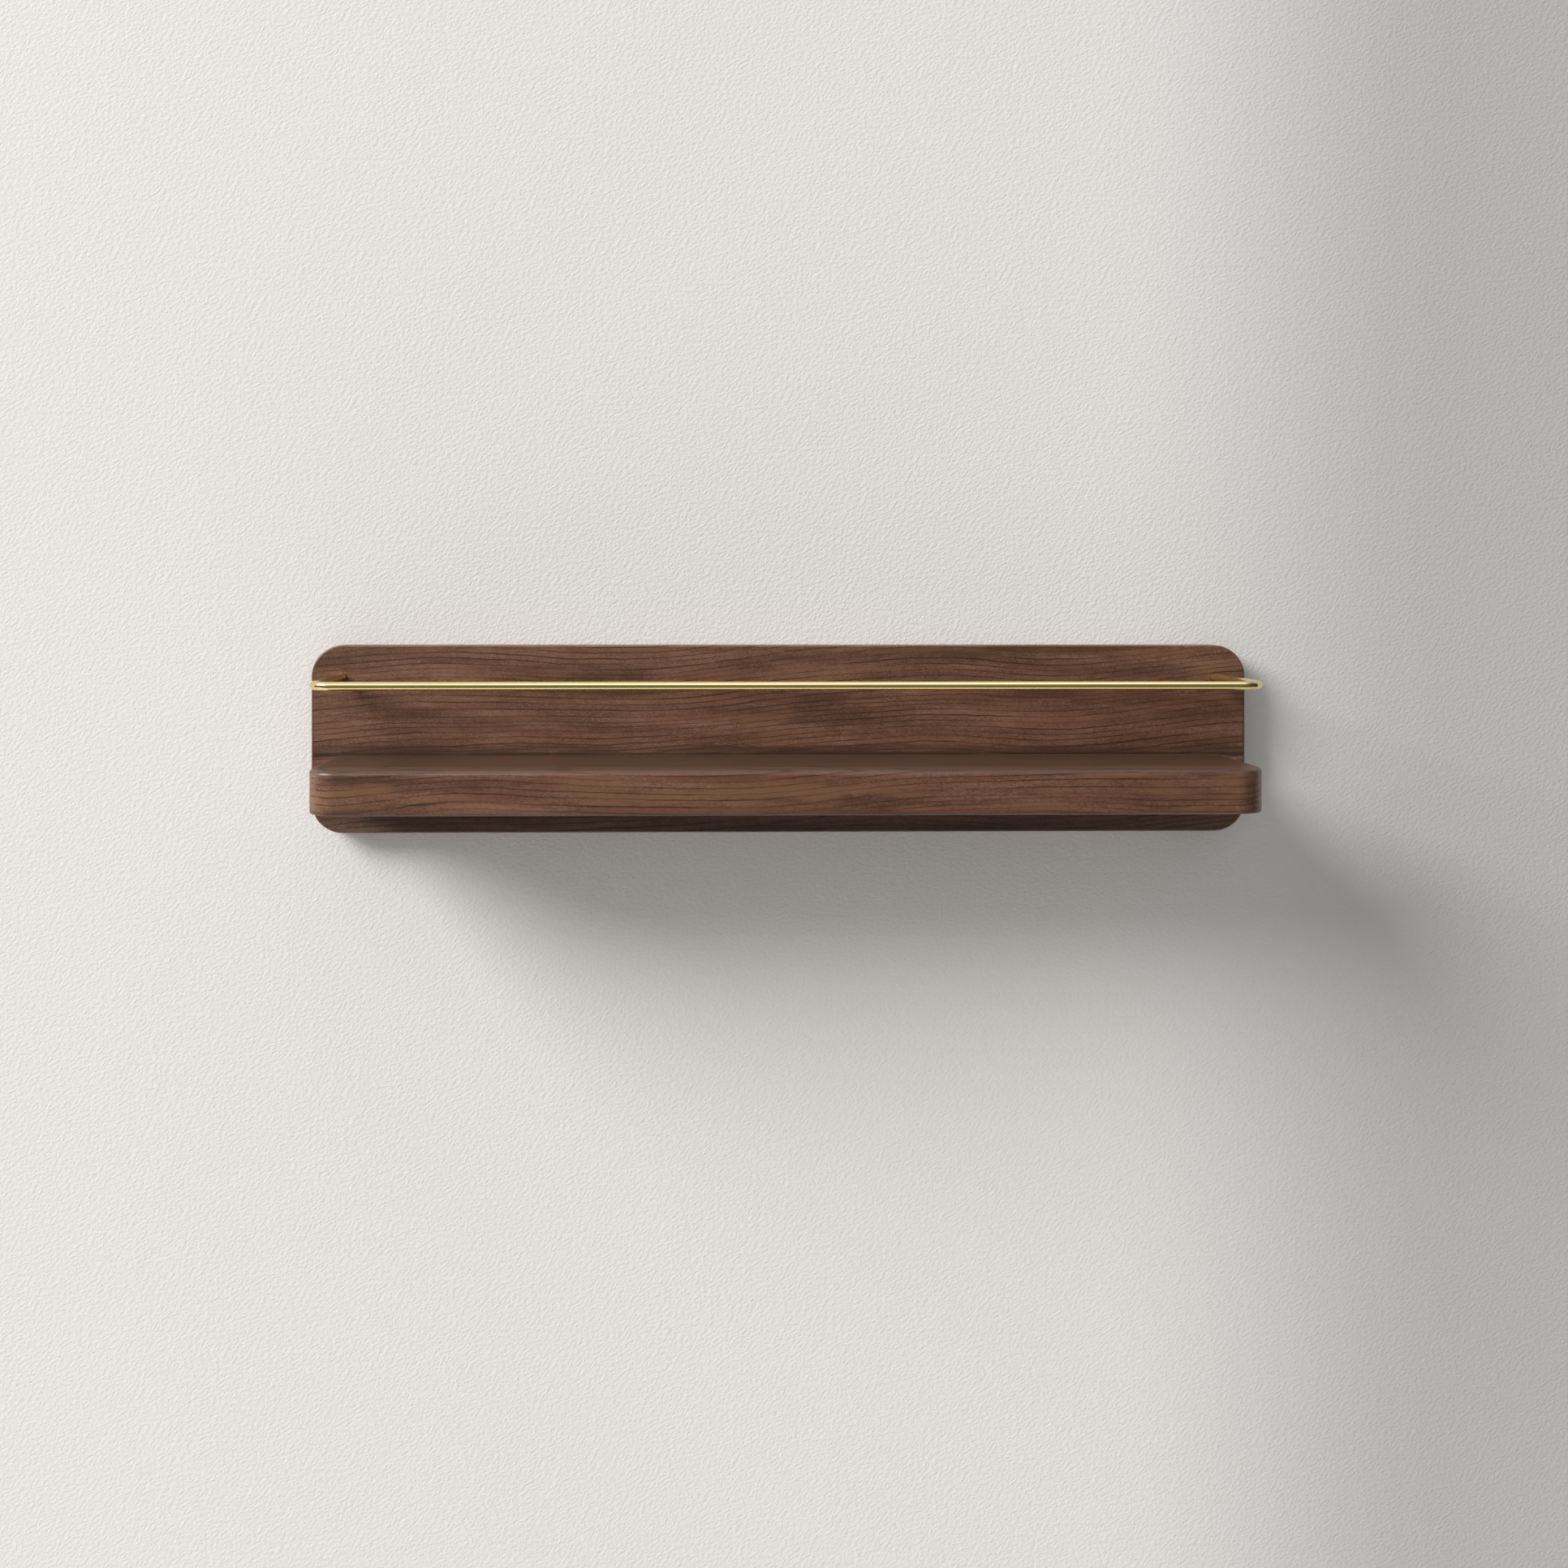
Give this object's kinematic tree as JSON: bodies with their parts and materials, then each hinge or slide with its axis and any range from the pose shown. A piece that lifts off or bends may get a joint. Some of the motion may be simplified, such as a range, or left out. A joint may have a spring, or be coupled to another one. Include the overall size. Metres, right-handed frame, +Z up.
{
  "type": "wall shelf with gallery rail",
  "caption": "Wall-hung ledge shelf: rounded back panel, shallow ledge board and a slim metal gallery rail round the front, hung on hidden keyhole plates.",
  "frame": {"origin": "centre of the back panel's back face, on the wall plane", "axes": "+X to the right along the shelf, +Y into the wall, +Z up; the shelf stands out towards -Y"},
  "size_m": [0.6, 0.12, 0.12],
  "materials": {
    "walnut": "oiled walnut with fine dark grain, semi-matt",
    "brass": "polished, lacquered",
    "zinc_steel": "bright zinc plated",
    "beech": "raw beech"
  },
  "bodies": {
    "root": {"back_panel": "walnut", "ledge_board": "walnut", "ledge_lipping": "walnut", "gallery_rail": "brass", "ledge_screw_1": "zinc_steel", "ledge_screw_2": "zinc_steel", "ledge_screw_3": "zinc_steel", "ledge_screw_4": "zinc_steel", "dowel_1": "beech", "dowel_2": "beech", "dowel_3": "beech", "rail_screw_left": "zinc_steel", "rail_washer_left": "zinc_steel", "rail_screw_right": "zinc_steel", "rail_washer_right": "zinc_steel", "hanger_plate_left": "zinc_steel", "hanger_screw_left_upper": "zinc_steel", "hanger_screw_left_lower": "zinc_steel", "hanger_plate_right": "zinc_steel", "hanger_screw_right_upper": "zinc_steel", "hanger_screw_right_lower": "zinc_steel"}
  },
  "joints": []
}
